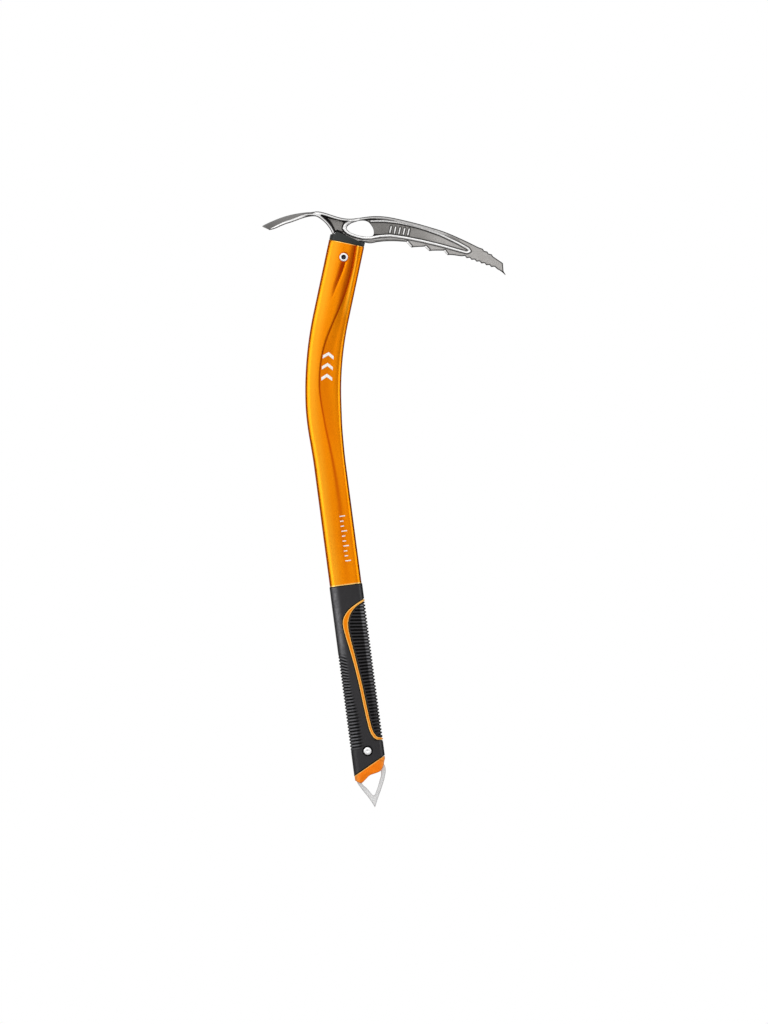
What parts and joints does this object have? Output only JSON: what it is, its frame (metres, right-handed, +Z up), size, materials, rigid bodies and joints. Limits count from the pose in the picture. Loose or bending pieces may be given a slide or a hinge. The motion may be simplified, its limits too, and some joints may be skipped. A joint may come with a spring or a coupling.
{
  "type": "ice axe",
  "caption": "Mountaineering ice axe with a bent oval shaft, a forged head with adze and toothed pick, a moulded grip and a spike.",
  "frame": {"origin": "the point of the spike", "axes": "+Z up the straight lower shaft towards the head, +X the way the pick points, Y the thickness"},
  "size_m": [0.2361, 0.0552, 0.6009],
  "materials": {
    "forged_steel": "shot-blasted forging, bare at the edges",
    "stainless_steel": "bright brushed",
    "anodised_aluminium": "orange anodised, satin",
    "black_rubber": "matt moulded",
    "orange_elastomer": "satin moulded",
    "orange_nylon": "satin moulded",
    "black_nylon": "satin moulded",
    "natural_nylon": "matt moulded"
  },
  "bodies": {
    "root": {"head": "forged_steel", "head_gasket": "black_nylon", "head_packer_front": "natural_nylon", "head_packer_back": "natural_nylon", "head_rivet": "stainless_steel", "shaft": "anodised_aluminium", "grip_sleeve": "black_rubber", "grip_loop": "orange_elastomer", "finger_pad": "black_rubber", "spike_collar": "orange_nylon", "spike": "stainless_steel", "spike_packer_front": "natural_nylon", "spike_packer_back": "natural_nylon", "spike_rivet": "stainless_steel"}
  },
  "joints": []
}
